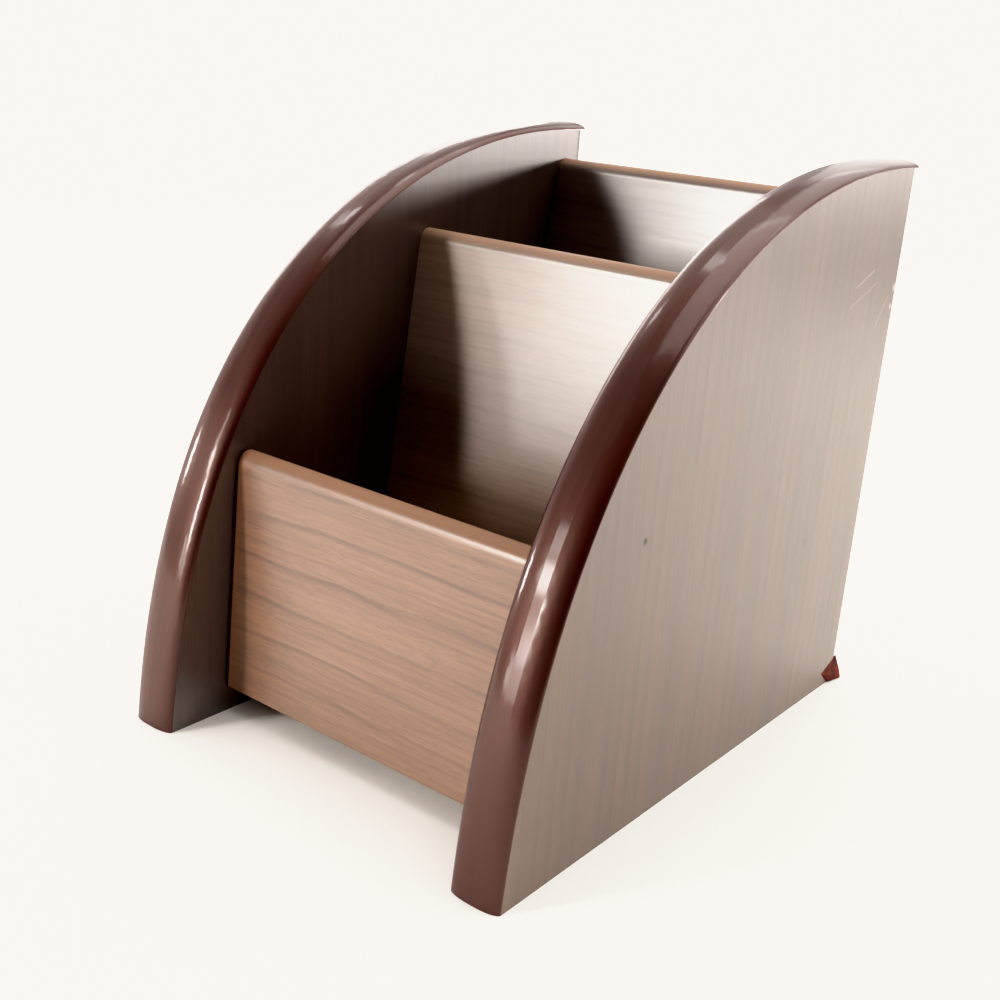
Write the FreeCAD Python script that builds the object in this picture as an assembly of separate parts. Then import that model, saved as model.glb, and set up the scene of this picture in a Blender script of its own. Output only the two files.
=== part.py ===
"""Pen stand: two quarter-round side boards with a D-section edge trim, a leaning
divider and back board between them, and a pull-out drawer in the front bay.

Millimetres. +X right, +Y to the back, +Z up. The origin is the bottom centre of
the bounding box. A distance "from the rear" runs forward from the upright plane
of the side boards' rear edges.
"""
import FreeCAD
import Part

import math
import os

# ---- side boards -------------------------------------------------------------
side_height = 175.0          # board alone, floor to its flat top
side_depth = 188.7           # rear edge to the foot of the curve
side_thickness = 16.0
inner_width = 111.0          # clear width between the side boards
top_flat = 11.3              # level stretch at the rear end of the top edge
foot_lean = 4.4              # degrees that the curve leans back at its foot
foot_pull = 156.0            # how far the curve holds its direction at the foot
top_pull = 54.0              # and at the flat top
rear_edge_radius = 4.0       # softened rear corners

# ---- edge trim, a cap with a tongue in a groove of the board's edge ------------
trim_nose = 2.0              # how far the cap stands out of the edge
trim_corner = 6.5            # width of each rounded corner of the cap
trim_least_flat = 0.5        # flat left between the corners, each side of the middle
tongue_width = 2.4
tongue_depth = 6.0
tongue_clearance = 0.1

# ---- boards between the sides --------------------------------------------------
board_thickness = 8.0
divider_foot = 104.0         # front face at the base panel, from the rear
divider_top = 144.5
divider_lean = 7.2           # degrees, top towards the rear
back_foot = 33.0
back_top = 165.0
back_lean = 6.9

# ---- base panel, housed in the side boards --------------------------------------
base_bottom = 4.0            # free height under the panel
base_thickness = 5.0
base_behind_back = 3.0       # how far it reaches behind the back board's foot
housing_depth = 4.0
housing_clearance = 0.1

# ---- drawer ------------------------------------------------------------------
front_bottom = 8.8
front_top = 84.0
front_foot = 168.0           # front face at its bottom edge, from the rear
front_lean = 3.1
front_thickness = 8.0
drawer_side_gap = 1.0        # each side, to the side boards
drawer_lift = 0.3            # drawer bottom above the base panel
drawer_stop_gap = 0.5        # drawer front to the base panel's front edge
drawer_rear_gap = 3.3        # drawer's back to the divider's foot
drawer_bottom_thickness = 3.0
drawer_wall_top = 52.0
drawer_wall_thickness = 7.0
drawer_back_thickness = 6.0

# ---- runners -------------------------------------------------------------------
runner_bottom = 27.0
runner_height = 5.0
runner_reach = 4.0           # how far a runner stands out of its side board
runner_clearance = 0.3
runner_setback = 2.5         # runner ends to the ends of the drawer's walls

# ---- fasteners -----------------------------------------------------------------
dowel_radius = 2.0
dowel_length = 20.0
dowel_in_side = 9.5
dowel_inset = 24.0           # along a board, from its foot and from its top
dowel_clearance = 0.05
dowel_end_gap = 0.3
front_dowel_radius = 1.2
front_dowel_length = 16.0
front_dowel_in_front = 5.0
front_dowel_heights = (20.0, 44.0)
pin_radius = 0.8
pin_head_radius = 1.6
pin_head_height = 0.8
pin_length = 12.0
pin_inset = 8.0              # from the runner's ends
nail_radius = 0.6
nail_clearance = 0.02
drawer_nail_length = 12.0
drawer_nail_inset = 6.0      # past the front dowels, and from the drawer's back
drawer_back_nail_inset = 18.0    # from the drawer's side walls
base_nail_length = 18.0
base_nail_inset = 20.0       # from the side boards

cut_past = 2.0               # how far a cut runs on past the face that it opens

# ---- worked out ----------------------------------------------------------------
inner_x = inner_width / 2
outer_x = inner_x + side_thickness
trim_overhang = trim_nose / math.cos(math.radians(foot_lean))
rear_y = (side_depth + trim_overhang) / 2
base_top = base_bottom + base_thickness
drawer_x = inner_x - drawer_side_gap
drawer_inner_x = drawer_x - drawer_wall_thickness
drawer_bottom_z = base_top + drawer_lift
drawer_floor_z = drawer_bottom_z + drawer_bottom_thickness
drawer_rear = divider_foot + drawer_rear_gap
runner_groove_depth = runner_reach - drawer_side_gap + runner_clearance
SIDES = {"left": -1, "right": 1}
UP = (0, 0, 1)
BACK = (0, 1, 0)


def from_rear(distance):
    """Y of a place that lies this far forward of the rear plane."""
    return rear_y - distance


def box(x0, x1, y0, y1, z0, z1):
    """Box between two opposite corners, given in any order."""
    low = FreeCAD.Vector(min(x0, x1), min(y0, y1), min(z0, z1))
    return Part.makeBox(abs(x1 - x0), abs(y1 - y0), abs(z1 - z0), low)


def prism(edges, x0, x1):
    """Solid with an outline in the YZ plane, from x0 to x1."""
    face = Part.Face(Part.Wire(edges))
    face.translate(FreeCAD.Vector(min(x0, x1), 0, 0))
    return face.extrude(FreeCAD.Vector(abs(x1 - x0), 0, 0))


def rod(x, y, z, direction, radius, length):
    """Round bar that starts at a point."""
    return Part.makeCylinder(radius, length, FreeCAD.Vector(x, y, z), FreeCAD.Vector(*direction))


def save(name, shape):
    shape.exportStep(os.path.join("parts", name + ".step"))


# ---- side boards and their trim --------------------------------------------------
def foot_direction():
    """Direction of the curved edge at its foot, upwards."""
    lean = math.radians(foot_lean)
    return FreeCAD.Vector(0, math.sin(lean), math.cos(lean))


def edge_line():
    """Ends and edges of the board's long edge: a cubic curve, then a level run.

    It starts below the floor and ends behind the rear plane, so that cuts finish it.
    """
    foot = FreeCAD.Vector(0, from_rear(side_depth), 0)
    top = FreeCAD.Vector(0, from_rear(top_flat), side_height)
    end = FreeCAD.Vector(0, from_rear(0) + cut_past, side_height)
    start = foot - foot_direction() * cut_past
    curve = Part.BezierCurve()
    curve.setPoles([start, foot + foot_direction() * foot_pull, top - FreeCAD.Vector(*BACK) * top_pull, top])
    return start, end, [curve.toShape(), Part.makeLine(top, end)]


def sweep_along_edge(flat_section):
    """Solid swept along the edge line. The section lies in the XY plane, with -Y outward."""
    start, _, edges = edge_line()
    section = flat_section.copy()
    section.rotate(FreeCAD.Vector(), FreeCAD.Vector(1, 0, 0), -foot_lean)
    section.translate(start)
    sweep = Part.BRepOffsetAPI.MakePipeShell(Part.Wire(edges))
    sweep.setBiNormalMode(FreeCAD.Vector(1, 0, 0))
    sweep.add(section)
    sweep.build()
    sweep.makeSolid()
    return sweep.shape()


def cap_section():
    """D section: flat against the board, two rounded corners and a flat nose."""
    half = side_thickness / 2
    corner = min(trim_corner, half - trim_least_flat)
    flat = half - corner

    def rounded(side, start, end):
        ellipse = Part.Ellipse(FreeCAD.Vector(side * flat, 0, 0), corner, trim_nose)
        return Part.ArcOfEllipse(ellipse, math.radians(start), math.radians(end)).toShape()

    return Part.Wire([
        Part.makeLine(FreeCAD.Vector(half, 0, 0), FreeCAD.Vector(-half, 0, 0)),
        rounded(-1, 180, 270),
        Part.makeLine(FreeCAD.Vector(-flat, -trim_nose, 0), FreeCAD.Vector(flat, -trim_nose, 0)),
        rounded(1, 270, 360),
    ])


def tongue_section(clearance, past):
    """Section of the tongue, or of the groove for it."""
    half = tongue_width / 2 + clearance
    depth = tongue_depth + clearance
    corners = ((-half, -past), (half, -past), (half, depth), (-half, depth), (-half, -past))
    return Part.makePolygon([FreeCAD.Vector(x, y, 0) for x, y in corners])


def make_trim(side):
    """Edge trim: the D-shaped cap and its tongue, cut flush at the floor and the rear."""
    trim = sweep_along_edge(cap_section()).fuse(sweep_along_edge(tongue_section(0, 0)))
    trim.translate(FreeCAD.Vector(side * (inner_x + side_thickness / 2), 0, 0))
    reach = trim_nose + cut_past
    within = box(side * inner_x, side * outer_x, from_rear(side_depth + reach), from_rear(0),
                 0, side_height + reach)
    return trim.common(within).removeSplitter()


def make_side_panel(side):
    """Side board with its trim groove, base housing, dowel holes and pin holes."""
    start, end, edges = edge_line()
    heel = FreeCAD.Vector(0, end.y, start.z)
    outline = edges + [Part.makeLine(end, heel), Part.makeLine(heel, start)]
    board = prism(outline, side * inner_x, side * outer_x).common(soft_rear_block(side))
    groove = sweep_along_edge(tongue_section(tongue_clearance, trim_nose))
    groove.translate(FreeCAD.Vector(side * (inner_x + side_thickness / 2), 0, 0))
    housing = box(side * (inner_x - cut_past), side * (inner_x + housing_depth + housing_clearance),
                  from_rear(base_front() + housing_clearance), from_rear(base_rear() - housing_clearance),
                  base_bottom - housing_clearance, base_top + housing_clearance)
    dowels = [make_dowel(side, y, z, dowel_clearance) for y, z in board_dowel_places()]
    pins = [make_pin(side, y, nail_clearance) for y in pin_places()]
    return board.cut([groove, housing] + dowels + pins)


def soft_rear_block(side):
    """Block that holds a side board, with its two upright rear corners rounded."""
    block = box(side * inner_x, side * outer_x, from_rear(side_depth + cut_past), from_rear(0),
                0, side_height + cut_past)
    corners = [edge for edge in block.Edges
               if edge.BoundBox.XLength < 1 and edge.BoundBox.YLength < 1 and edge.BoundBox.YMin > 0]
    return block.makeFillet(rear_edge_radius, corners)


# ---- boards that lean --------------------------------------------------------------
def leaning_point(foot, foot_z, lean, along, across):
    """(y, z) on a leaning board: up its front face from the foot, and back through it."""
    angle = math.radians(lean)
    y = from_rear(foot) + along * math.sin(angle) + across * math.cos(angle)
    z = foot_z + along * math.cos(angle) - across * math.sin(angle)
    return y, z


def face_length(foot_z, top_z, lean, thickness):
    """Length of the front face, from the foot up to where the rounded top starts."""
    angle = math.radians(lean)
    radius = thickness / 2
    return (top_z - radius + radius * math.sin(angle) - foot_z) / math.cos(angle)


def leaning_board(foot, foot_z, top_z, lean, thickness, half_width):
    """Board with a level foot, leaning faces and a full-round top edge."""
    radius = thickness / 2
    face = face_length(foot_z, top_z, lean, thickness)
    rise = thickness * math.tan(math.radians(lean))

    def point(along, across):
        return FreeCAD.Vector(0, *leaning_point(foot, foot_z, lean, along, across))

    front_heel, back_heel = point(0, 0), point(rise, thickness)
    front_shoulder, back_shoulder = point(face, 0), point(face, thickness)
    outline = [
        Part.makeLine(back_heel, front_heel),
        Part.makeLine(front_heel, front_shoulder),
        Part.Arc(front_shoulder, point(face + radius, radius), back_shoulder).toShape(),
        Part.makeLine(back_shoulder, back_heel),
    ]
    return prism(outline, -half_width, half_width)


def dowel_places(foot, top_z, lean):
    """(y, z) of the dowels at each end of a board, in the middle of its thickness."""
    length = face_length(base_top, top_z, lean, board_thickness)
    return [leaning_point(foot, base_top, lean, along, board_thickness / 2)
            for along in (dowel_inset, length - dowel_inset)]


def board_dowel_places():
    return (dowel_places(divider_foot, divider_top, divider_lean)
            + dowel_places(back_foot, back_top, back_lean))


def make_dowel(side, y, z, clearance):
    """Dowel from a side board into the end of a board, or the hole for it."""
    extra = dowel_end_gap if clearance else 0.0
    start = side * (inner_x + dowel_in_side + extra)
    return rod(start, y, z, (-side, 0, 0), dowel_radius + clearance, dowel_length + 2 * extra)


def end_dowels(foot, top_z, lean, clearance):
    return [make_dowel(side, y, z, clearance)
            for side in SIDES.values() for y, z in dowel_places(foot, top_z, lean)]


def make_board(foot, top_z, lean):
    """Divider or back board, standing on the base panel."""
    board = leaning_board(foot, base_top, top_z, lean, board_thickness, inner_x)
    return board.cut(end_dowels(foot, top_z, lean, dowel_clearance) + base_nails(nail_clearance))


# ---- base panel and runners ----------------------------------------------------------
def behind_front(z):
    """How far from the rear the drawer front's back face lies at a height."""
    angle = math.radians(front_lean)
    return front_foot - front_thickness / math.cos(angle) - (z - front_bottom) * math.tan(angle)


def base_front():
    return behind_front(front_bottom) - drawer_stop_gap


def base_rear():
    return back_foot - board_thickness / math.cos(math.radians(back_lean)) - base_behind_back


def base_nails(clearance):
    """Nails up through the base panel into the feet of the divider and the back board."""
    nails = []
    for foot, lean in ((divider_foot, divider_lean), (back_foot, back_lean)):
        grip = base_nail_length - base_thickness
        y, _ = leaning_point(foot, base_top, lean, grip / 2, board_thickness / 2)
        nails += [rod(side * (inner_x - base_nail_inset), y, base_bottom, UP,
                      nail_radius + clearance, base_nail_length + clearance) for side in SIDES.values()]
    return nails


def make_base_panel():
    half_width = inner_x + housing_depth
    panel = box(-half_width, half_width, from_rear(base_front()), from_rear(base_rear()),
                base_bottom, base_top)
    return panel.cut(base_nails(nail_clearance))


def runner_ends():
    """Front and rear end of a runner, from the rear."""
    return behind_front(runner_bottom) - runner_setback, drawer_rear + runner_setback


def pin_places():
    front, rear = runner_ends()
    return [from_rear(front - pin_inset), from_rear(rear + pin_inset)]


def make_pin(side, y, clearance):
    """Flush-headed pin through a runner into its side board, or the hole for it."""
    start = side * (inner_x - runner_reach)
    z = runner_bottom + runner_height / 2
    shank = rod(start, y, z, (side, 0, 0), pin_radius + clearance, pin_length + clearance)
    head = rod(start, y, z, (side, 0, 0), pin_head_radius + clearance, pin_head_height + clearance)
    return shank.fuse(head)


def make_runner(side):
    front, rear = runner_ends()
    strip = box(side * (inner_x - runner_reach), side * inner_x, from_rear(front), from_rear(rear),
                runner_bottom, runner_bottom + runner_height)
    return strip.cut([make_pin(side, y, nail_clearance) for y in pin_places()])


# ---- drawer ------------------------------------------------------------------------
def front_dowels(clearance):
    """Dowels between the drawer front and its walls, beside the runner grooves."""
    extra = dowel_end_gap if clearance else 0.0
    x = drawer_inner_x + (drawer_wall_thickness - runner_groove_depth) / 2
    return [rod(side * x, from_rear(behind_front(z)) - front_dowel_in_front - extra, z, BACK,
                front_dowel_radius + clearance, front_dowel_length + 2 * extra)
            for side in SIDES.values() for z in front_dowel_heights]


def drawer_nails(clearance):
    """Nails up through the drawer bottom into its walls and its back."""
    wall_x = (drawer_inner_x + drawer_x) / 2
    dowel_tail = behind_front(drawer_floor_z) - front_dowel_length + front_dowel_in_front
    rows = (from_rear(dowel_tail - drawer_nail_inset),
            from_rear(drawer_rear + drawer_back_thickness + drawer_nail_inset))
    back_y = from_rear(drawer_rear + drawer_back_thickness / 2)
    places = [(side * wall_x, y) for side in SIDES.values() for y in rows]
    places += [(side * (drawer_inner_x - drawer_back_nail_inset), back_y) for side in SIDES.values()]
    return [rod(x, y, drawer_bottom_z, UP, nail_radius + clearance, drawer_nail_length + clearance)
            for x, y in places]


def make_drawer_front():
    front = leaning_board(front_foot, front_bottom, front_top, front_lean, front_thickness, drawer_x)
    return front.cut(front_dowels(dowel_clearance))


def behind_front_block(low_z, high_z, x0, x1):
    """Block from the drawer front's leaning back face to the drawer's rear."""
    corners = ((behind_front(low_z), low_z), (drawer_rear, low_z),
               (drawer_rear, high_z), (behind_front(high_z), high_z), (behind_front(low_z), low_z))
    outline = Part.makePolygon([FreeCAD.Vector(0, from_rear(distance), z) for distance, z in corners])
    return prism(outline.Edges, x0, x1)


def make_drawer_side(side):
    """Side wall of the drawer, with the groove that rides on the runner."""
    wall = behind_front_block(drawer_floor_z, drawer_wall_top, side * drawer_inner_x, side * drawer_x)
    groove = box(side * (drawer_x - runner_groove_depth), side * (drawer_x + cut_past),
                 from_rear(front_foot), from_rear(drawer_rear) + cut_past,
                 runner_bottom - runner_clearance, runner_bottom + runner_height + runner_clearance)
    return wall.cut([groove] + front_dowels(dowel_clearance) + drawer_nails(nail_clearance))


def make_drawer_back():
    back = box(-drawer_inner_x, drawer_inner_x, from_rear(drawer_rear + drawer_back_thickness),
               from_rear(drawer_rear), drawer_floor_z, drawer_wall_top)
    return back.cut(drawer_nails(nail_clearance))


def make_drawer_bottom():
    bottom = behind_front_block(drawer_bottom_z, drawer_floor_z, -drawer_x, drawer_x)
    return bottom.cut(drawer_nails(nail_clearance))


def main():
    os.makedirs("parts", exist_ok=True)
    for name, side in SIDES.items():
        save("side_panel_" + name, make_side_panel(side))
        save("edge_trim_" + name, make_trim(side))
        save("runner_" + name, make_runner(side))
        save("drawer_side_" + name, make_drawer_side(side))
    save("divider_board", make_board(divider_foot, divider_top, divider_lean))
    save("back_board", make_board(back_foot, back_top, back_lean))
    save("base_panel", make_base_panel())
    save("drawer_front", make_drawer_front())
    save("drawer_back", make_drawer_back())
    save("drawer_bottom", make_drawer_bottom())
    groups = {
        "divider_dowels": end_dowels(divider_foot, divider_top, divider_lean, 0),
        "back_board_dowels": end_dowels(back_foot, back_top, back_lean, 0),
        "base_nails": base_nails(0),
        "runner_pins": [make_pin(side, y, 0) for side in SIDES.values() for y in pin_places()],
        "drawer_front_dowels": front_dowels(0),
        "drawer_nails": drawer_nails(0),
    }
    for name, pieces in groups.items():
        save(name, Part.makeCompound(pieces))


main()
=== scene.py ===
"""Desk pen stand with a drawer: finishes, a torn corner, light and camera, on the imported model."""

import math
from collections import namedtuple

import bmesh
import bpy
from mathutils import Matrix, Vector


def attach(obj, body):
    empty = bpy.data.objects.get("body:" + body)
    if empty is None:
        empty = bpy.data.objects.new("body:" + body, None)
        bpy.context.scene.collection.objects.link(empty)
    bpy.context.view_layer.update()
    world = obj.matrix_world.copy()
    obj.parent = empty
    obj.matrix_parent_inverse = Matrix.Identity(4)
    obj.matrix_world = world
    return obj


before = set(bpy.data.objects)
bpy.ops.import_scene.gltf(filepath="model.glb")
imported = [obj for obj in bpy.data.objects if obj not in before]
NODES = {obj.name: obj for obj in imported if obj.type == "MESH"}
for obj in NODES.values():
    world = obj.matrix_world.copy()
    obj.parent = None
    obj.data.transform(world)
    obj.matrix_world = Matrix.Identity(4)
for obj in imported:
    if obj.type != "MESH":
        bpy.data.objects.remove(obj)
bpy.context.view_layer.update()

MM = 0.001

# Where the finishes find the stand's faces and upper edges, in millimetres.
RIGHT_OUTER_FACE = 71.5
FRONT_LEFT_END = -55.0
FRONT_TOP = 84.0
DIVIDER_TOP = 144.5
BACK_TOP = 165.0


# ---------------------------------------------------------------- shader writing


# Noise: spots per metre, detail and roughness, and how it is squeezed along x, y and z.
Grain = namedtuple("Grain", "scale detail rough squeeze", defaults=(None,))

# Noise drawn out along the fibres: one stroke's length and width in metres, its detail and
# roughness, and a shift that keeps two kinds of stroke apart.
Stroke = namedtuple("Stroke", "long wide detail rough shift")

# A fine relief: its depth in metres and how strongly it shows.
Relief = namedtuple("Relief", "depth strength")

# Most of a noise lies between these two.
NOISE_LOW = 0.3
NOISE_HIGH = 0.7


class Wire:
    """One output of a node. Sums of wires are written as plain arithmetic."""

    def __init__(self, finish, socket):
        self.finish = finish
        self.socket = socket

    def _math(self, operation, first, second=None):
        sockets = {0: first}
        if second is not None:
            sockets[1] = second
        return self.finish.node("ShaderNodeMath", {"operation": operation}, sockets)

    def __add__(self, other):
        return self._math("ADD", self, other)

    def __radd__(self, other):
        return self._math("ADD", other, self)

    def __sub__(self, other):
        return self._math("SUBTRACT", self, other)

    def __rsub__(self, other):
        return self._math("SUBTRACT", other, self)

    def __mul__(self, other):
        return self._math("MULTIPLY", self, other)

    def __rmul__(self, other):
        return self._math("MULTIPLY", other, self)

    def __truediv__(self, other):
        return self._math("DIVIDE", self, other)

    def __rtruediv__(self, other):
        return self._math("DIVIDE", other, self)

    def least(self, other):
        """The smaller of two numbers."""
        return self._math("MINIMUM", self, other)

    def size(self):
        """The number without its sign."""
        return self._math("ABSOLUTE", self)

    def after_point(self):
        """The part of the number after its point."""
        return self._math("FRACT", self)


class Finish:
    """A material under construction: its nodes, its coordinates and its shader."""

    def __init__(self, name):
        self.material = bpy.data.materials.new(name)
        self.material.use_nodes = True
        self.tree = self.material.node_tree
        self.tree.nodes.clear()
        self.shader = self.tree.nodes.new("ShaderNodeBsdfPrincipled")
        output = self.tree.nodes.new("ShaderNodeOutputMaterial")
        self.tree.links.new(self.shader.outputs[0], output.inputs[0])

    def node(self, kind, settings=None, sockets=None, out=0):
        """Adds a node: its settings first, then its sockets' values or wires."""
        made = self.tree.nodes.new(kind)
        for name, value in (settings or {}).items():
            setattr(made, name, value)
        for key, value in (sockets or {}).items():
            self._feed(made.inputs[key], value)
        return Wire(self, made.outputs[out])

    def _feed(self, socket, value):
        if isinstance(value, Wire):
            self.tree.links.new(value.socket, socket)
        else:
            socket.default_value = value

    def set(self, **sockets):
        """Values or wires for the shader's own sockets, words joined by underscores."""
        for name, value in sockets.items():
            self._feed(self.shader.inputs[name.replace("_", " ")], value)

    def place(self):
        """The point on the piece, in metres, in the whole object's frame."""
        return self.node("ShaderNodeTexCoord", out="Object")

    def parts(self, vector):
        """The three numbers of a vector."""
        split = self.node("ShaderNodeSeparateXYZ", sockets={0: vector})
        outputs = split.socket.node.outputs
        return [Wire(self, outputs[i]) for i in range(3)]

    def noise(self, point, scale, detail, rough):
        """Smooth noise between 0 and 1."""
        return self.node(
            "ShaderNodeTexNoise",
            sockets={"Vector": point, "Scale": scale, "Detail": detail, "Roughness": rough},
        )

    def grain(self, kind):
        """Noise of one kind of Grain, fixed to the piece."""
        point = self.place()
        if kind.squeeze:
            point = self.node("ShaderNodeMapping", sockets={"Vector": point, "Scale": kind.squeeze})
        return self.noise(point, kind.scale, kind.detail, kind.rough)

    def strokes(self, run, cross, kind, seed):
        """Noise of one kind of Stroke, along and across the fibres."""
        point = self.node(
            "ShaderNodeCombineXYZ",
            sockets={0: run * (1 / kind.long), 1: cross * (1 / kind.wide), 2: seed + kind.shift},
        )
        return self.noise(point, 1.0, kind.detail, kind.rough)

    def _range(self, curve, factor, low, high, start, end):
        return self.node(
            "ShaderNodeMapRange",
            {"clamp": True, "interpolation_type": curve},
            {"Value": factor, "From Min": low, "From Max": high, "To Min": start, "To Max": end},
        )

    def between(self, noise, start, end):
        """A number that follows a noise in a straight line, from start to end."""
        return self._range("LINEAR", noise, NOISE_LOW, NOISE_HIGH, start, end)

    def soft(self, factor, low, high, start=0.0, end=1.0):
        """A smooth ramp from start at low to end at high, held outside them."""
        return self._range("SMOOTHSTEP", factor, low, high, start, end)

    def mix(self, factor, one, other):
        """A colour between one (factor 0) and other (factor 1)."""
        return self.node(
            "ShaderNodeMix",
            {"data_type": "RGBA", "clamp_factor": True},
            {0: factor, 6: colour4(one), 7: colour4(other)},
            out=2,
        )

    def bump(self, height, relief):
        """A normal from a height between 0 and 1."""
        return self.node(
            "ShaderNodeBump",
            sockets={"Strength": relief.strength, "Distance": relief.depth, "Height": height},
        )


def colour4(value):
    """A colour as a Mix node wants it, unless it is a wire."""
    return value if isinstance(value, Wire) else (*value, 1.0)


def blended(first, part, second):
    """That part of the first, and the rest of the second."""
    return part * first + (1.0 - part) * second


# The screen's own curve: a short straight toe, then a power.
TOE_SLOPE = 12.92
TOE_LIGHT = 0.0031308
TOE_LEVEL = 0.04045
CURVE_LIFT = 0.055
CURVE_POWER = 2.4


def to_screen(light):
    """The screen level of an amount of light."""
    if light <= TOE_LIGHT:
        return TOE_SLOPE * light
    return (1.0 + CURVE_LIFT) * light ** (1 / CURVE_POWER) - CURVE_LIFT


def from_screen(level):
    """The amount of light of a screen level."""
    if level <= TOE_LEVEL:
        return level / TOE_SLOPE
    return ((level + CURVE_LIFT) / (1.0 + CURVE_LIFT)) ** CURVE_POWER


def shade(*numbers):
    """A linear colour from the usual 0 to 255 numbers."""
    return tuple(from_screen(number / 255.0) for number in numbers)


# ---------------------------------------------------------------- walnut print


CLOUD = Stroke(0.12, 0.014, 3.0, 0.6, 1.3)
FIBRE = Stroke(0.03, 0.0016, 4.0, 0.65, 4.1)
FINE = Stroke(0.006, 0.0006, 2.0, 0.5, 7.7)
REACH = Stroke(0.05, 0.012, 2.0, 0.5, 11.0)
PORE = Stroke(0.004, 0.0004, 1.0, 0.5, 23.0)
DRIFT = Stroke(0.085, 0.03, 2.0, 0.5, 0.0)

# How much of the tone each kind of stroke makes up, and the levels it turns between.
CLOUD_SHARE = 0.45
FIBRE_SHARE = 0.35
FINE_SHARE = 0.2
PRINT_TURN = (0.38, 0.62)

# Growth lines: spacing and wander in metres, where in a line it starts to darken, how dark
# the broad and the narrow ones are, and how dark the pores.
Lines = namedtuple("Lines", "spacing wander start broad narrow pores")
SIDE_LINES = Lines(0.0058, 0.006, 0.35, 0.4, 0.25, 0.15)
FRONT_LINES = Lines(0.0125, 0.012, 0.74, 0.5, 0.25, 0.3)
INNER_LINES = Lines(0.0135, 0.015, 0.78, 0.32, 0.2, 0.25)
LINE_END = 0.92
BROAD_FADE = 0.15
NARROW_SPACING = 0.37
NARROW_WANDER = 0.55
NARROW_SHIFT = 17.0
NARROW_START = 0.6
NARROW_TURN = (0.62, 0.42)
NARROW_FADE = 0.1
PORE_TURN = (0.6, 0.72)

# The sealing film: how strongly the print and the film mirror, and the tint of the mirroring.
Film = namedtuple("Film", "ior coat coat_ior tint")
SATIN = Film(1.8, 0.7, 1.6, (1.0, 0.935, 0.933, 1.0))
GLOSSY = Film(2.1, 1.0, 1.65, (1.0, 0.975, 0.97, 1.0))
FILM_ROUGH = 0.25
PRINT_ROUGH = (0.37, 0.45)
PRINT_RELIEF = Relief(0.000012, 0.5)
RELIEF_FIBRE = 0.6

# Dark, middle and light tone of each board. The two side boards are one print, yet each board's
# tones were fitted to how bright it shows under this light, so the differences between them are
# partly painted light and shade.
FRONT_TONES = (shade(83, 55, 41), shade(135, 99, 73), shade(158, 117, 89))
DIVIDER_TONES = (shade(94, 71, 60), shade(147, 120, 102), shade(165, 136, 117))
BACK_TONES = (shade(76, 58, 51), shade(121, 99, 88), shade(134, 110, 99))
LEFT_TONES = (shade(57, 42, 35), shade(74, 56, 48), shade(85, 65, 56))
RIGHT_TONES = (shade(64, 42, 28), shade(82, 57, 38), shade(95, 67, 46))

# The boards' upper edges, painted lighter and more orange for the light they catch from above,
# and made rougher and duller: tone, and how far below the top it starts and is complete, in
# millimetres.
LIT_TOP_TONE = shade(150, 110, 82)
LIT_TOP_FROM = 2.4
LIT_TOP_FULL = 0.9
LIT_TOP_ROUGHER = 0.3
LIT_TOP_DULLER = 0.9

# How much the pattern moves across where it goes round a board's edge.
ROUND_EDGE = 0.8


def run_of(finish, along):
    """How far a point lies along the fibres and across them, in metres, round the edges too."""
    x, y, z = finish.parts(finish.place())
    if along == "x":
        return x, z + ROUND_EDGE * y
    return z, y + ROUND_EDGE * x


def growth_lines(finish, run, cross, spacing, wander, seed, start):
    """Dark late-wood lines: each one darkens slowly from start, then ends sharply."""
    drift = finish.strokes(run, cross, DRIFT, seed)
    ring = ((cross + wander * (drift - 0.5)) / spacing).after_point()
    return finish.soft(ring, start, LINE_END) * finish.soft(ring, LINE_END, 1.0, 1.0, 0.0)


def line_depth(finish, run, cross, lines, seed):
    """How dark the growth lines are: broad ones here, narrow ones where those fade."""
    reach = finish.strokes(run, cross, REACH, seed)
    broad = growth_lines(finish, run, cross, lines.spacing, lines.wander, seed, lines.start)
    broad = broad * finish.soft(reach, *PRINT_TURN, BROAD_FADE, 1.0)
    spacing = lines.spacing * NARROW_SPACING
    wander = lines.wander * NARROW_WANDER
    shifted = seed + NARROW_SHIFT
    narrow = growth_lines(finish, run, cross, spacing, wander, shifted, NARROW_START)
    narrow = narrow * finish.soft(reach, *NARROW_TURN, NARROW_FADE, 1.0)
    return (lines.broad * broad + lines.narrow * narrow).least(1.0)


def print_colour(finish, run, cross, tone, tones, lines, seed):
    """The print's colour: two tones of wood, then dark growth lines and pores."""
    dark, mid, light = tones
    colour = finish.mix(finish.soft(tone, *PRINT_TURN), mid, light)
    colour = finish.mix(line_depth(finish, run, cross, lines, seed), colour, dark)
    pore = finish.strokes(run, cross, PORE, seed)
    return finish.mix(lines.pores * finish.soft(pore, *PORE_TURN), colour, dark)


def lit_top_edge(finish, top):
    """1 on a board's upper edge, painted lighter for the light from above, 0 below it."""
    height = finish.parts(finish.place())[2]
    return finish.soft(height, (top - LIT_TOP_FROM) * MM, (top - LIT_TOP_FULL) * MM)


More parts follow.
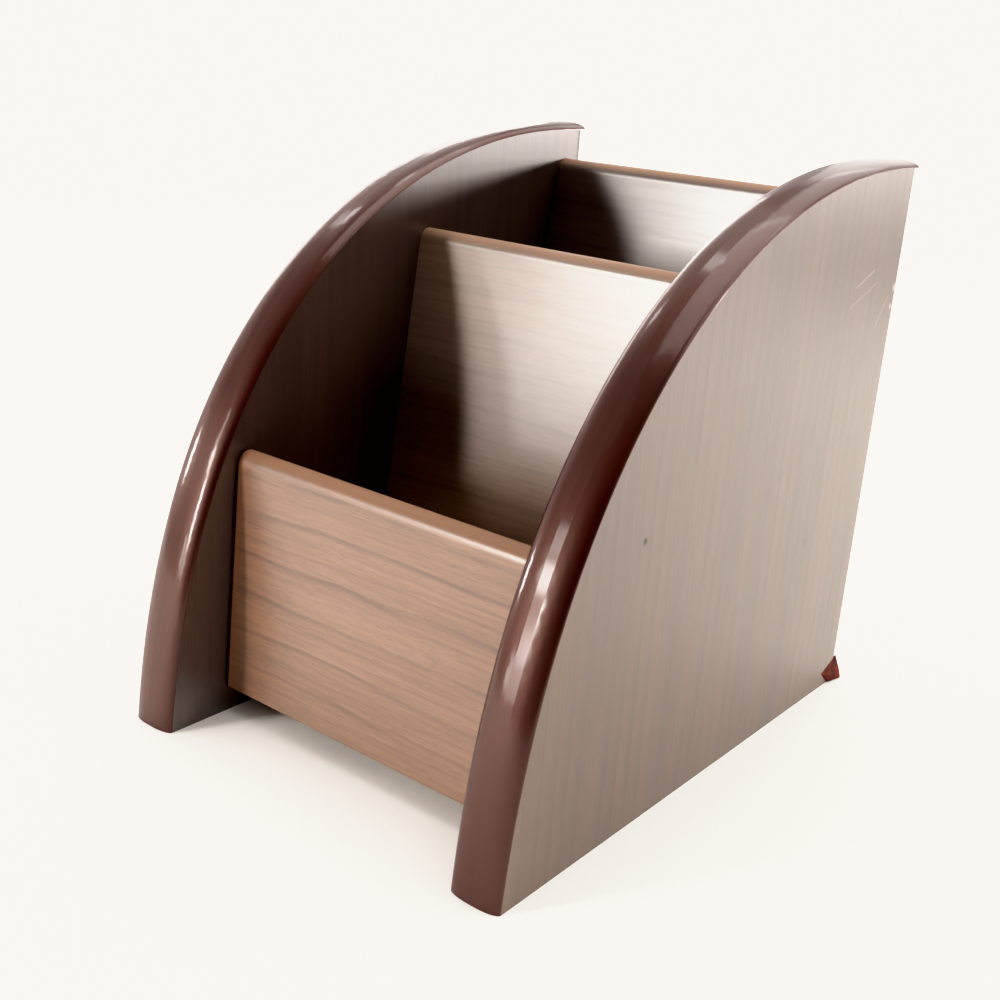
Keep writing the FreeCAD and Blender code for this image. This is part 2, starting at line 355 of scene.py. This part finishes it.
def walnut(name, along, tones, lines, seed, film, marks=None, top=None):
    """Walnut print laminate: fibres run along one axis, under a sealing film."""
    finish = Finish(name)
    run, cross = run_of(finish, along)
    cloud = finish.strokes(run, cross, CLOUD, seed)
    fibre = finish.strokes(run, cross, FIBRE, seed)
    fine = finish.strokes(run, cross, FINE, seed)
    tone = CLOUD_SHARE * cloud + FIBRE_SHARE * fibre + FINE_SHARE * fine
    colour = print_colour(finish, run, cross, tone, tones, lines, seed)
    rough = finish.between(fibre, *PRINT_ROUGH)
    coat = film.coat
    if marks:
        colour, dull = marks(finish, colour)
        coat = coat * (1.0 - dull)
    if top:
        lit_top = lit_top_edge(finish, top)
        # Painted light: the upper edge is made lighter and more orange, as it catches the light from
        # above.
        colour = finish.mix(lit_top, colour, LIT_TOP_TONE)
        rough = rough + LIT_TOP_ROUGHER * lit_top
        coat = coat * (1.0 - LIT_TOP_DULLER * lit_top)
    finish.set(
        Base_Color=colour,
        Roughness=rough,
        IOR=film.ior,
        Specular_Tint=film.tint,
        Coat_Weight=coat,
        Coat_IOR=film.coat_ior,
        Coat_Roughness=FILM_ROUGH,
        Normal=finish.bump(blended(fibre, RELIEF_FIBRE, fine), PRINT_RELIEF),
    )
    return finish.material


# ---------------------------------------------------------------- wear on the boards


# Round marks on the right side board's outer face: place along y and z and radius in
# millimetres, then strength.
BRUISES = ((-44.2, 86.3, 1.3, 1.0), (53.0, 61.8, 1.4, 0.6))
NICKS = ((91.3, 138.3, 1.7, 0.5), (90.5, 132.3, 1.3, 0.4))
MARK_CORE = 0.35

# Hairline scratches on it: start, end and width in millimetres, then strength.
SCRATCHES = (
    ((75.7, 145.9), (61.0, 140.2), 0.6, 0.16),
    ((78.5, 141.5), (57.5, 134.0), 0.5, 0.1),
    ((88.0, 136.5), (80.0, 126.0), 0.6, 0.12),
)
SCRATCH_CORE = 0.3
SCRATCH_TAPER = 0.2

BRUISE_TONE = shade(26, 17, 12)
SCRATCH_TONE = shade(214, 190, 172)

# Painted shade: near its left end the front board is painted more orange, where the left side board
# keeps the film's reflection off it: tone, reach in millimetres, strength, and how much of the
# film's gloss goes there.
UNREFLECTED_TONE = shade(170, 106, 68)
UNREFLECTED_REACH = 7.0
UNREFLECTED_STRENGTH = 0.5
UNREFLECTED_DULLER = 0.5


def spot(finish, y, z, radius):
    """1 inside a small round mark on the outer face, fading to 0 at its rim."""
    centre = (RIGHT_OUTER_FACE * MM, y * MM, z * MM)
    gap = finish.node(
        "ShaderNodeVectorMath", {"operation": "DISTANCE"}, {0: finish.place(), 1: centre}, "Value"
    )
    return finish.soft(gap, MARK_CORE * radius * MM, radius * MM, 1.0, 0.0)


def scratch(finish, start, end, width):
    """1 along a straight hairline scratch on the outer face, fading to 0 at its sides."""
    y, z = finish.parts(finish.place())[1:]
    from_y = start[0] * MM
    from_z = start[1] * MM
    run = Vector((end[0] * MM - from_y, end[1] * MM - from_z))
    length = run.length
    taper = SCRATCH_TAPER * length
    run.normalize()
    ahead = run.x * (y - from_y) + run.y * (z - from_z)
    aside = (run.x * (z - from_z) - run.y * (y - from_y)).size()
    inside = finish.soft(ahead, 0.0, taper) * finish.soft(ahead, length - taper, length, 1.0, 0.0)
    return inside * finish.soft(aside, SCRATCH_CORE * width * MM, width * MM, 1.0, 0.0)


def handled(finish, colour):
    """Wear on the right side board: the colour with its marks, and how dull they are."""
    dents = [strength * spot(finish, y, z, radius) for y, z, radius, strength in BRUISES]
    dull = dents[0] + dents[1]
    colour = finish.mix(dull, colour, BRUISE_TONE)
    for start, end, width, strength in SCRATCHES:
        line = strength * scratch(finish, start, end, width)
        colour = finish.mix(line, colour, SCRATCH_TONE)
    for y, z, radius, strength in NICKS:
        nick = strength * spot(finish, y, z, radius)
        colour = finish.mix(nick, colour, SCRATCH_TONE)
    return colour, dull


def unreflected_end(finish, colour):
    """The front board's left end: the colour painted warmer where no reflection falls, and how dull
    it is.
    """
    across = finish.parts(finish.place())[0]
    start = FRONT_LEFT_END * MM
    unreflected = finish.soft(across, start, start + UNREFLECTED_REACH * MM, UNREFLECTED_STRENGTH, 0.0)
    # Painted: the warmer colour stands in for the reflection that the left side board blocks.
    return finish.mix(unreflected, colour, UNREFLECTED_TONE), UNREFLECTED_DULLER * unreflected


# ---------------------------------------------------------------- the other finishes


ALONG_X = (0.05, 1.0, 1.0)
ALONG_Y = (1.0, 0.05, 1.0)

TRIM_CLOUD = Grain(30.0, 3.0, 0.5)
TRIM_STREAK = Grain(400.0, 2.0, 0.5, (1.0, 0.3, 0.3))
TRIM_WAVE = Grain(90.0, 2.0, 0.5)
WOOD_FIBRE = Grain(700.0, 4.0, 0.6)
WOOD_CLOUD = Grain(90.0, 2.0, 0.5)
BOARD_SPECK = Grain(1500.0, 3.0, 0.7)
BOARD_CLOUD = Grain(70.0, 2.0, 0.5)
CORE_FIBRE = Grain(900.0, 3.0, 0.6, (1.0, 1.0, 0.4))
CORE_CLOUD = Grain(350.0, 2.0, 0.5)
WIRE_DRAWN = Grain(2500.0, 3.0, 0.6, (1.0, 1.0, 0.1))
PAPER_CLOUD = Grain(6.0, 2.0, 0.5)

TRIM_COLOURS = (shade(56, 18, 11), shade(66, 23, 15))
PLY_COLOURS = (shade(190, 148, 108), shade(216, 178, 138))
BEECH_COLOURS = (shade(190, 150, 112), shade(214, 178, 140))
BOARD_COLOURS = (shade(92, 62, 40), shade(128, 90, 60))
CORE_COLOURS = (shade(70, 26, 14), shade(120, 52, 32))
STEEL_COLOURS = (shade(120, 118, 114), shade(168, 166, 162))
PAPER_COLOURS = ((0.90, 0.885, 0.85), (0.91, 0.895, 0.86))

# How deep each finish is to the touch.
TRIM_RELIEF = Relief(0.0001, 0.02)
WOOD_RELIEF = Relief(0.00005, 0.5)
BOARD_RELIEF = Relief(0.00004, 0.5)
CORE_RELIEF = Relief(0.0002, 0.7)
WIRE_RELIEF = Relief(0.00001, 0.3)

# How much of a finish's tone is its fibre, or its cloud on the trims.
WOOD_FIBRE_SHARE = 0.6
BOARD_SPECK_SHARE = 0.6
CORE_FIBRE_SHARE = 0.5
TRIM_CLOUD_SHARE = 0.7

# Least and greatest roughness.
TRIM_ROUGH = (0.4, 0.46)
WOOD_ROUGH = (0.5, 0.7)
BOARD_ROUGH = (0.45, 0.6)
CORE_ROUGH = (0.6, 0.8)
WIRE_ROUGH = (0.28, 0.45)

# How strongly a bare finish mirrors: most of them, and the loose torn fibre.
BARE_IOR = 1.5
CORE_IOR = 1.3

# The levels that the fibre's tone turns between, and where the floor thins out, in metres.
FIBRE_TURN = (0.35, 0.65)
FLOOR_FADE = (0.55, 1.3)


def fibred(finish, colours, fibre, cloud, share):
    """Two colours that turn with the fibre and the clouds, and the fibre itself."""
    lines = finish.grain(fibre)
    tone = blended(lines, share, finish.grain(cloud))
    return finish.mix(finish.soft(tone, *FIBRE_TURN), *colours), lines


def set_bare(finish, colour, lines, rough, relief, ior=BARE_IOR):
    """A finish without a film: its roughness and relief follow its fibre."""
    finish.set(
        Base_Color=colour,
        Roughness=finish.between(lines, *rough),
        IOR=ior,
        Normal=finish.bump(lines, relief),
    )
    return finish.material


def plain_wood(name, colours, squeeze):
    """Bare wood with a light fibre along one axis."""
    finish = Finish(name)
    fibre = WOOD_FIBRE._replace(squeeze=squeeze)
    cloud = WOOD_CLOUD._replace(squeeze=squeeze)
    colour, lines = fibred(finish, colours, fibre, cloud, WOOD_FIBRE_SHARE)
    return set_bare(finish, colour, lines, WOOD_ROUGH, WOOD_RELIEF)


def pressed_board():
    """Brown hardboard: pressed fibre, smooth and a little waxy."""
    finish = Finish("hardboard")
    colour, specks = fibred(finish, BOARD_COLOURS, BOARD_SPECK, BOARD_CLOUD, BOARD_SPECK_SHARE)
    return set_bare(finish, colour, specks, BOARD_ROUGH, BOARD_RELIEF)


def torn_core():
    """The red-brown core of the board where it is torn."""
    finish = Finish("torn board core")
    colour, lines = fibred(finish, CORE_COLOURS, CORE_FIBRE, CORE_CLOUD, CORE_FIBRE_SHARE)
    return set_bare(finish, colour, lines, CORE_ROUGH, CORE_RELIEF, CORE_IOR)


def trim_plastic():
    """Dark mahogany plastic: a soft sheen under a high gloss."""
    finish = Finish("gloss mahogany trim")
    cloud = finish.grain(TRIM_CLOUD)
    tone = blended(cloud, TRIM_CLOUD_SHARE, finish.grain(TRIM_STREAK))
    finish.set(
        Base_Color=finish.mix(finish.soft(tone, NOISE_LOW, NOISE_HIGH), *TRIM_COLOURS),
        Roughness=finish.between(cloud, *TRIM_ROUGH),
        Specular_Tint=(1.0, 0.62, 0.54, 1.0),
        IOR=1.66,
        Coat_Weight=0.5,
        Coat_Roughness=0.11,
        Normal=finish.bump(finish.grain(TRIM_WAVE), TRIM_RELIEF),
    )
    return finish.material


def nail_steel():
    """Drawn wire steel."""
    finish = Finish("nail steel")
    drawn = finish.grain(WIRE_DRAWN)
    finish.set(
        Base_Color=finish.mix(drawn, *STEEL_COLOURS),
        Metallic=1.0,
        Roughness=finish.between(drawn, *WIRE_ROUGH),
        Normal=finish.bump(drawn, WIRE_RELIEF),
    )
    return finish.material


def floor_paper():
    """The plain pale floor, which thins out far from the stand."""
    finish = Finish("pale paper")
    reach = finish.node(
        "ShaderNodeVectorMath", {"operation": "LENGTH"}, {0: finish.place()}, "Value"
    )
    finish.set(
        Base_Color=finish.mix(finish.grain(PAPER_CLOUD), *PAPER_COLOURS),
        Roughness=0.9,
        Specular_IOR_Level=0.1,
        Alpha=finish.soft(reach, *FLOOR_FADE, 1.0, 0.0),
    )
    return finish.material


# ---------------------------------------------------------------- dressing the solids


def dress(material, *names):
    """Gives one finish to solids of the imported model."""
    for name in names:
        mesh = NODES[name].data
        for index in range(len(mesh.materials)):
            mesh.materials[index] = material


def dress_boards():
    """Each board has its own tones, partly painted light and shade, and its own part of the print.
    """
    side = {"along": "z", "lines": SIDE_LINES, "film": SATIN}
    front = {"along": "x", "lines": FRONT_LINES, "film": SATIN}
    inner = {"along": "x", "lines": INNER_LINES, "film": GLOSSY}
    left = walnut("walnut side left", tones=LEFT_TONES, seed=31.0, **side)
    right = walnut("walnut side right", tones=RIGHT_TONES, seed=3.0, marks=handled, **side)
    low = walnut(
        "walnut front", tones=FRONT_TONES, seed=5.0, marks=unreflected_end, top=FRONT_TOP, **front
    )
    middle = walnut("walnut divider", tones=DIVIDER_TONES, seed=12.0, top=DIVIDER_TOP, **inner)
    back = walnut("walnut back", tones=BACK_TONES, seed=21.0, top=BACK_TOP, **inner)
    dress(left, "side_panel_left")
    dress(right, "side_panel_right")
    dress(low, "drawer_front")
    dress(middle, "divider_board")
    dress(back, "back_board")


def dress_rest():
    """Trims, base, drawer box, runners and fixings."""
    ply = plain_wood("drawer plywood", PLY_COLOURS, ALONG_Y)
    beech = plain_wood("beech", BEECH_COLOURS, ALONG_Y)
    dowel = plain_wood("beech dowel", BEECH_COLOURS, ALONG_X)
    dress(trim_plastic(), "edge_trim_left", "edge_trim_right")
    dress(pressed_board(), "base_panel", "drawer_bottom")
    dress(ply, "drawer_side_left", "drawer_side_right", "drawer_back")
    dress(beech, "runner_left", "runner_right")
    dress(dowel, "divider_dowels", "back_board_dowels", "drawer_front_dowels")
    dress(nail_steel(), "base_nails", "runner_pins", "drawer_nails")


# Corners of the splinter in millimetres: pairs up the torn face, then its free end.
SPLINTER = (
    (71.0, 94.6, 8.6),
    (71.7, 93.4, 8.2),
    (71.0, 82.6, 5.4),
    (71.65, 83.6, 4.8),
    (71.0, 88.0, 0.4),
    (72.3, 89.6, 0.2),
    (71.0, 95.2, 0.3),
    (73.7, 95.6, 0.25),
    (73.1, 95.5, 2.6),
)
SPLINTER_ROUNDING = 0.12


def make_splinter():
    """The right side board's rear bottom corner, knocked and splayed outwards."""
    shape = bmesh.new()
    for corner in SPLINTER:
        shape.verts.new([value * MM for value in corner])
    hull = bmesh.ops.convex_hull(shape, input=shape.verts)
    inside = [part for part in hull["geom_interior"] if isinstance(part, bmesh.types.BMVert)]
    bmesh.ops.delete(shape, geom=inside, context="VERTS")
    bmesh.ops.bevel(
        shape,
        geom=shape.edges[:],
        offset=SPLINTER_ROUNDING * MM,
        affect="EDGES",
        segments=2,
        profile=0.5,
        material=-1,
    )
    bmesh.ops.recalc_face_normals(shape, faces=shape.faces)
    mesh = bpy.data.meshes.new("corner_splinter")
    shape.to_mesh(mesh)
    shape.free()
    mesh.materials.append(torn_core())
    splinter = bpy.data.objects.new("corner_splinter", mesh)
    bpy.context.scene.collection.objects.link(splinter)
    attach(splinter, "stand")


# ---------------------------------------------------------------- floor and light


FLOOR_HALF_WIDTH = 1.4
LIT_MIDDLE = Vector((0, 0, 0.08))
ROOM_COLOUR = (1.5, 1.47, 1.4, 1.0)

# Distance, width and height of each kind of lamp, in metres.
LAMP_KINDS = {
    "wide": (1.4, 1.2, 1.2),
    "high": (1.4, 1.0, 0.8),
    "low": (1.4, 1.2, 0.9),
    "strip": (1.4, 0.25, 0.12),
    "key": (1.3, 0.09, 0.13),
    "spot": (1.4, 0.12, 0.16),
    "wash": (2.0, 2.6, 2.6),
}

# Name, kind, azimuth and elevation in degrees, and power in watts.
LAMPS = (
    ("overhead", "wide", 180, 81, 12.5),
    ("rear left high", "high", 120, 45, 1.4),
    ("rear high", "high", 180, 45, 4.0),
    ("rear right high", "high", -120, 45, 7.0),
    ("front left high", "high", 60, 45, 1.0),
    ("left low", "low", 90, 15, 3.1),
    ("rear left low", "low", 120, 15, 13.5),
    ("rear low left", "low", 150, 15, 2.2),
    ("rear low", "low", 180, 15, 3.9),
    ("strip right 1", "strip", -145, 9, 6.2),
    ("strip right 2", "strip", -135, 9, 5.4),
    ("strip right 3", "strip", -145, 5, 1.05),
    ("key 1", "key", 25, 13, 2.4),
    ("key 2", "key", 25, 7, 1.8),
    ("key 3", "key", 28, 19, 0.9),
    ("key 4", "key", 31, 19, 0.76),
    ("key 5", "key", 34, 19, 0.58),
    ("key 6", "key", 34, 1, 0.49),
    ("key 7", "key", 31, 26, 0.43),
    ("key 8", "key", 25, 1, 0.31),
    ("key 9", "key", 28, 7, 0.3),
    ("key 10", "key", 28, 1, 0.21),
    ("key 11", "key", 25, 19, 0.17),
    ("spot 1", "spot", 62, 9, 3.1),
    ("spot 2", "spot", 100, 48, 0.61),
    ("spot 3", "spot", 125, 60, 0.36),
)
FLOOR_WASH = ("floor wash", "wash", -20, 62, 17.0)


def make_floor():
    """The floor, wide enough that its rim is thin air."""
    shape = bmesh.new()
    bmesh.ops.create_grid(shape, x_segments=1, y_segments=1, size=FLOOR_HALF_WIDTH)
    mesh = bpy.data.meshes.new("floor")
    shape.to_mesh(mesh)
    shape.free()
    floor = bpy.data.objects.new("floor", mesh)
    bpy.context.scene.collection.objects.link(floor)
    mesh.materials.append(floor_paper())
    return floor


def toward(azimuth, elevation):
    """The direction to a light: azimuth is left of straight ahead of the stand's front."""
    turn = math.radians(azimuth)
    lift = math.radians(elevation)
    flat = math.cos(lift)
    return Vector((-math.sin(turn) * flat, -math.cos(turn) * flat, math.sin(lift)))


def softbox(name, kind, azimuth, elevation, power):
    """An area light, turned to the middle of the stand and hidden from the camera."""
    distance, width, height = LAMP_KINDS[kind]
    lamp = bpy.data.lights.new(name, "AREA")
    lamp.shape = "RECTANGLE"
    lamp.size = width
    lamp.size_y = height
    lamp.energy = power
    holder = bpy.data.objects.new(name, lamp)
    way = toward(azimuth, elevation)
    holder.location = LIT_MIDDLE + way * distance
    holder.rotation_mode = "QUATERNION"
    holder.rotation_quaternion = way.to_track_quat("Z", "Y")
    holder.visible_camera = False
    bpy.context.scene.collection.objects.link(holder)
    return holder


def wash_floor(floor):
    """Even light from above that falls on the floor alone."""
    wash = softbox(*FLOOR_WASH)
    alone = bpy.data.collections.new("floor alone")
    alone.objects.link(floor)
    wash.light_linking.receiver_collection = alone


def make_room():
    """Black to the stand's own light, white behind it."""
    world = bpy.data.worlds.new("room")
    world.use_nodes = True
    tree = world.node_tree
    back = tree.nodes["Background"]
    path = tree.nodes.new("ShaderNodeLightPath")
    back.inputs["Color"].default_value = ROOM_COLOUR
    tree.links.new(path.outputs["Is Camera Ray"], back.inputs["Strength"])
    bpy.context.scene.world = world


def make_lights(floor):
    """Every lamp, the wash on the floor and the room."""
    for lamp in LAMPS:
        softbox(*lamp)
    wash_floor(floor)
    make_room()


# ---------------------------------------------------------------- camera and look


CAMERA_AT = (0.232723, -0.317125, 0.202703)
CAMERA_RIGHT = Vector((0.77823981, 0.62422279, 0.06847413))
CAMERA_DOWN = Vector((0.25519952, -0.21475228, -0.94273786))
CAMERA_AHEAD = Vector((-0.57377348, 0.7511507, -0.32643013))
LENS = 47.77
LENS_SHIFT = (0.00061, 0.00216)
SENSOR_WIDTH = 36.0
NEAREST = 0.01
FARTHEST = 50.0

# Screen levels that become black and white, where the shoulder starts, and its ceiling.
BLACK_LEVEL = 28 / 255
WHITE_LEVEL = 240 / 255
KNEE = 0.88
CEILING = 0.985

# How much of full white each of red, green and blue reaches.
WHITES = (1.0, 0.972, 0.932)

# Amounts of light at which the curve is set.
CURVE_STOPS = (
    0.0, 0.0058, 0.0116, 0.02, 0.03, 0.045, 0.065, 0.09, 0.12, 0.16, 0.21, 0.27, 0.34,
    0.42, 0.5, 0.58, 0.66, 0.74, 0.82, 0.9, 1.0, 1.1, 1.2, 1.35, 1.5, 1.75, 2.0,
)


def make_camera():
    """The camera, in front of the stand's right side and a little above it."""
    lens = bpy.data.cameras.new("camera")
    lens.lens = LENS
    lens.sensor_width = SENSOR_WIDTH
    lens.shift_x, lens.shift_y = LENS_SHIFT
    lens.clip_start = NEAREST
    lens.clip_end = FARTHEST
    holder = bpy.data.objects.new("camera", lens)
    turn = Matrix((CAMERA_RIGHT, -CAMERA_DOWN, -CAMERA_AHEAD)).transposed()
    holder.matrix_world = Matrix.Translation(CAMERA_AT) @ turn.to_4x4()
    bpy.context.scene.collection.objects.link(holder)
    bpy.context.scene.camera = holder


def toned(light):
    """Deeper blacks and brighter whites, with a soft shoulder under white."""
    level = max(0.0, (to_screen(light) - BLACK_LEVEL) / (WHITE_LEVEL - BLACK_LEVEL))
    if level > KNEE:
        room = CEILING - KNEE
        level = KNEE + room * (1 - math.exp((KNEE - level) / room))
    return from_screen(level)


def set_look():
    """How light becomes screen colour: a print-like curve with slightly warm whites."""
    look = bpy.context.scene.view_settings
    look.view_transform = "Standard"
    look.use_curve_mapping = True
    mapping = look.curve_mapping
    mapping.clip_max_x = CURVE_STOPS[-1]
    for curve, white in zip(mapping.curves[:3], WHITES):
        curve.points[0].location = (CURVE_STOPS[0], toned(CURVE_STOPS[0]))
        curve.points[1].location = (CURVE_STOPS[-1], toned(CURVE_STOPS[-1]) * white)
        for stop in CURVE_STOPS[1:-1]:
            curve.points.new(stop, toned(stop) * white)
    mapping.update()


dress_boards()
dress_rest()
make_splinter()
make_lights(make_floor())
make_camera()
set_look()
